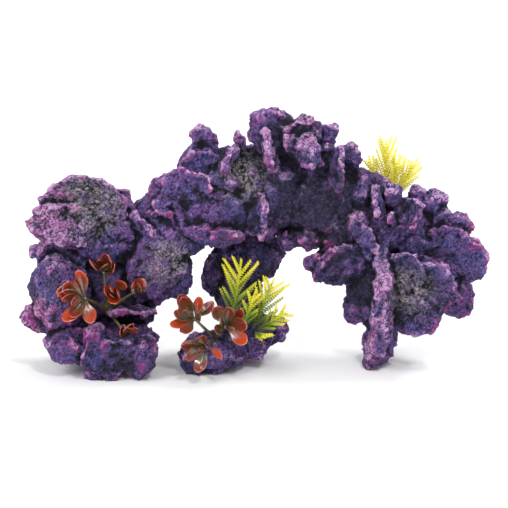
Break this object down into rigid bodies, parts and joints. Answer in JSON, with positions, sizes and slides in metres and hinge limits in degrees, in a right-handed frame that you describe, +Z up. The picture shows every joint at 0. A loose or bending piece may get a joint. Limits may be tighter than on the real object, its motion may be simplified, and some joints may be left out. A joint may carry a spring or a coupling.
{
  "type": "aquarium coral arch ornament",
  "caption": "Painted resin reef arch of fan-shaped coral plates, with red spoon-leaf plants and yellow-green fern sprays, that stands on an aquarium floor for fish to swim through.",
  "frame": {"origin": "middle of the footprint, on the surface the ornament stands on", "axes": "+X runs to the right along the arch, +Y to the back, +Z up"},
  "size_m": [0.3286, 0.1126, 0.1878],
  "materials": {
    "reef_paint": "indigo and purple paint on cast resin, rims dry-brushed magenta and lilac, hollows grey-olive",
    "plant_stem": "olive-brown moulded plastic, glossy",
    "red_leaf": "translucent red-brown moulded plastic with orange leaf tips, glossy",
    "yellow_fern": "olive to bright yellow-green moulded plastic, satin"
  },
  "bodies": {
    "root": {"left_fan": "reef_paint", "left_pillar": "reef_paint", "crown": "reef_paint", "middle_leg": "reef_paint", "right_leg": "reef_paint", "red_plant_middle_stem": "plant_stem", "red_plant_middle_whorl_1": "red_leaf", "red_plant_middle_whorl_2": "red_leaf", "red_plant_middle_whorl_3": "red_leaf", "red_plant_left_stem": "plant_stem", "red_plant_left_whorl_1": "red_leaf", "red_plant_left_whorl_2": "red_leaf", "red_plant_left_whorl_3": "red_leaf", "red_plant_left_whorl_4": "red_leaf", "red_plant_left_whorl_5": "red_leaf", "fern_front_spray_1": "yellow_fern", "fern_front_spray_2": "yellow_fern", "fern_front_spray_3": "yellow_fern", "fern_front_spray_4": "yellow_fern", "fern_front_spray_5": "yellow_fern", "fern_back_spray_1": "yellow_fern", "fern_back_spray_2": "yellow_fern", "fern_back_spray_3": "yellow_fern", "fern_back_spray_4": "yellow_fern"}
  },
  "joints": []
}
